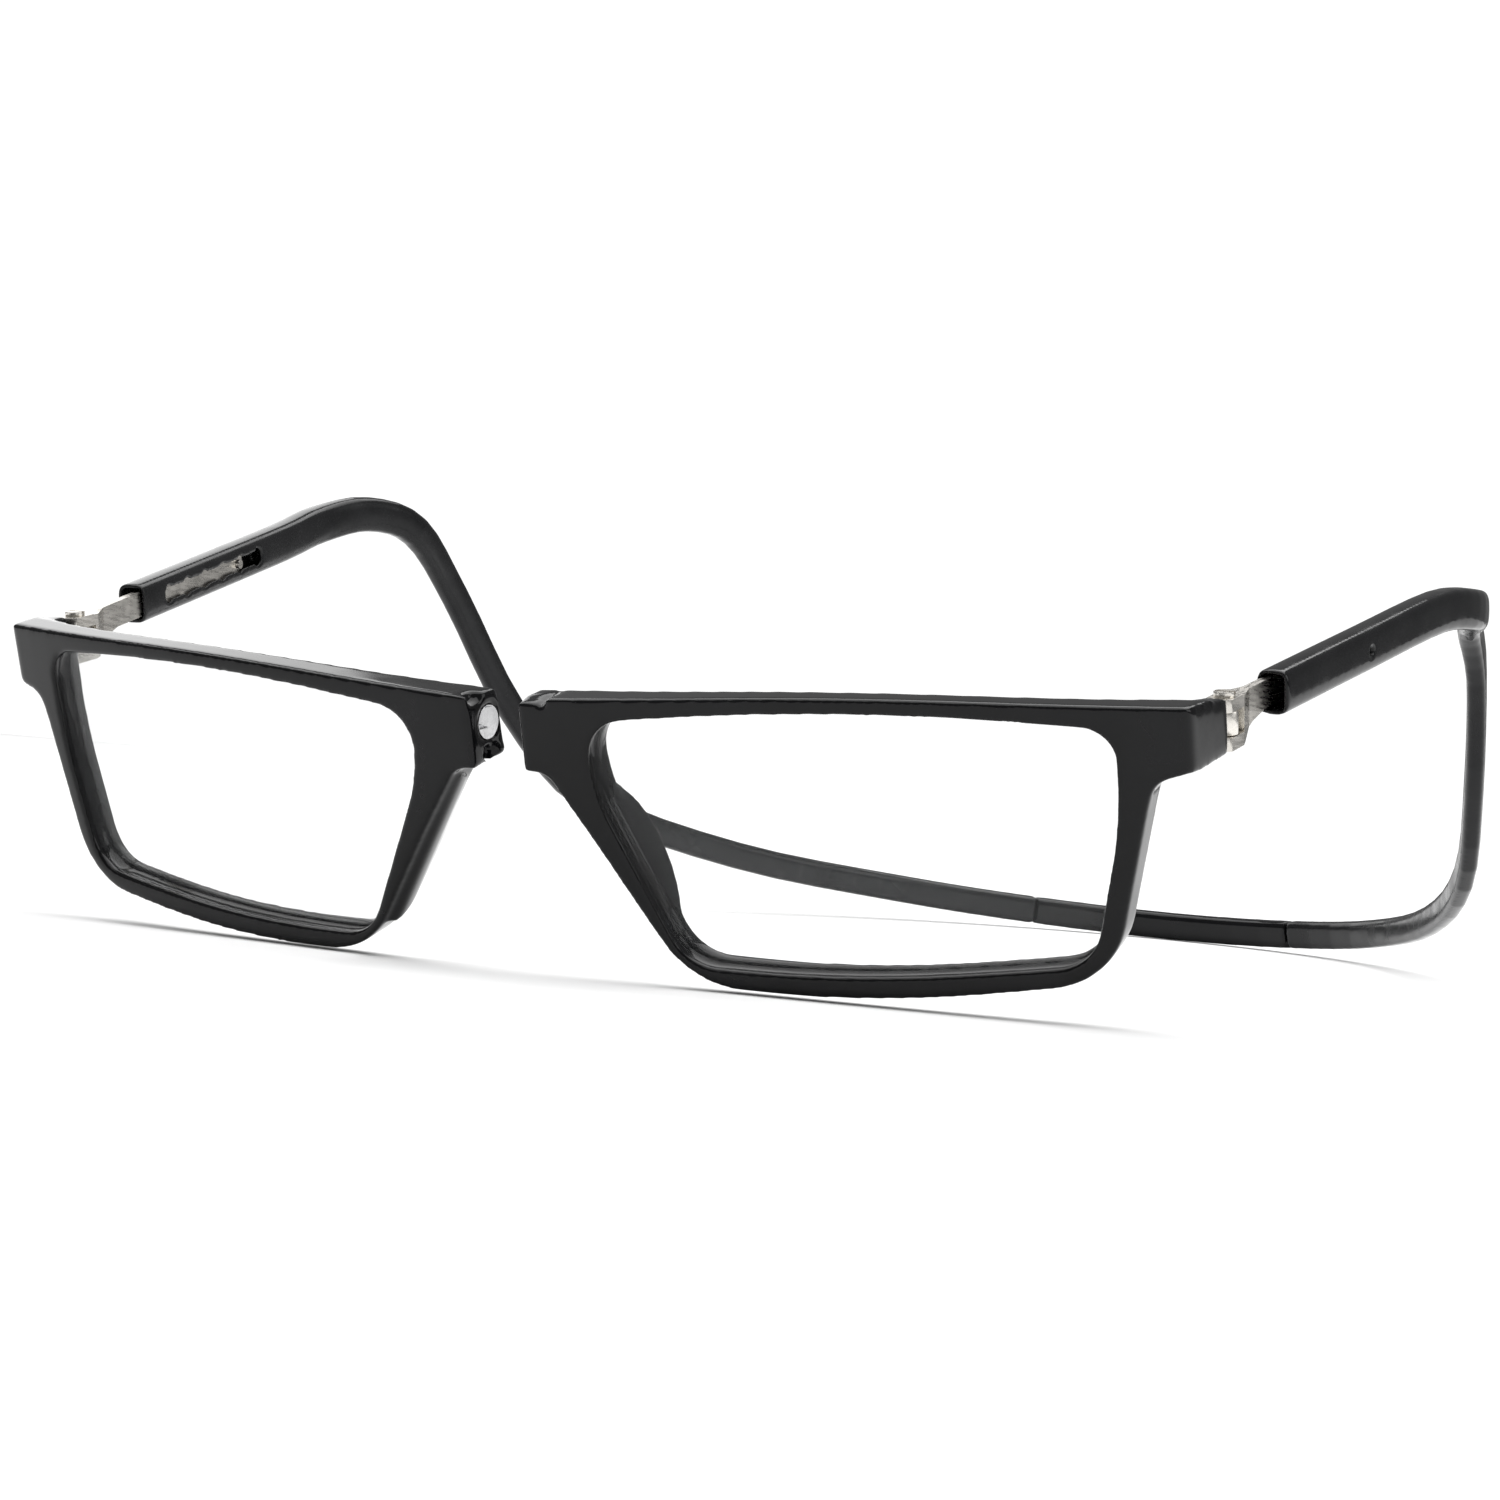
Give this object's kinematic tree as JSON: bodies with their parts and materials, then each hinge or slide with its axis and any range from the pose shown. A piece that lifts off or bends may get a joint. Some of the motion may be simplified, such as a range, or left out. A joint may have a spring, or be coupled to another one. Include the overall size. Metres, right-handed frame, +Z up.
{
  "type": "folding reading glasses",
  "caption": "Reading glasses whose front parts at a magnetic bridge, with hinged halves, sliding temple arms and a flexible band behind the neck.",
  "frame": {"origin": "centre of the box on the table the glasses stand on", "axes": "+X to the wearer's left, +Y from the front to the neck band, +Z up from the table"},
  "size_m": [0.1484, 0.2014, 0.0505],
  "materials": {
    "frame_black": "polished black moulding with softly rounded edges",
    "temple_black": "gloss black outside, satin dark grey inside",
    "band_black": "smooth flexible black band with a soft gloss",
    "nickel": "satin nickel, slightly warm",
    "magnet_metal": "bright plated magnet face",
    "lens_clear": "clear lens"
  },
  "bodies": {
    "neck": {"neck_band": "band_black"},
    "right_side": {"right_temple": "temple_black"},
    "right_arm": {"right_slide_arm": "nickel", "right_click_button": "nickel", "right_hinge_screw": "nickel"},
    "right_front": {"right_rim": "frame_black", "right_lens": "lens_clear", "right_magnet": "magnet_metal", "right_hinge_plate": "nickel"},
    "left_side": {"left_temple": "temple_black"},
    "left_arm": {"left_slide_arm": "nickel", "left_click_button": "nickel", "left_hinge_screw": "nickel"},
    "left_front": {"left_rim": "frame_black", "left_lens": "lens_clear", "left_magnet": "magnet_metal", "left_hinge_plate": "nickel"}
  },
  "joints": [
    {"name": "right_flex", "type": "hinge", "parent": "neck", "child": "right_side", "pos_m": [-0.019, 0.0944, 0.00262], "axis": [0, 0.2152, -0.9766], "range_deg": [-0.15, 12], "stiffness_Nm_per_rad": 0.5},
    {"name": "right_slide", "type": "slide", "parent": "right_side", "child": "right_arm", "axis": [0.0992, -0.9623, -0.2532], "range_m": [-0.00435, 0.0174]},
    {"name": "right_hinge", "type": "hinge", "parent": "right_arm", "child": "right_front", "pos_m": [-0.066, -0.0759, 0.02959], "axis": [0, -0.2152, 0.9766], "range_deg": [-5, 94]},
    {"name": "left_flex", "type": "hinge", "parent": "neck", "child": "left_side", "pos_m": [0.019, 0.0944, 0.00262], "axis": [0, -0.2152, 0.9766], "range_deg": [-0.15, 12], "stiffness_Nm_per_rad": 0.5},
    {"name": "left_slide", "type": "slide", "parent": "left_side", "child": "left_arm", "axis": [-0.0992, -0.9623, -0.2532], "range_m": [0, 0.02175]},
    {"name": "left_hinge", "type": "hinge", "parent": "left_arm", "child": "left_front", "pos_m": [0.066, -0.0759, 0.02959], "axis": [0, 0.2152, -0.9766], "range_deg": [-5, 94]}
  ],
  "couplings": [
    {"joint": "left_flex", "follows": "right_flex", "ratio": 1}
  ]
}
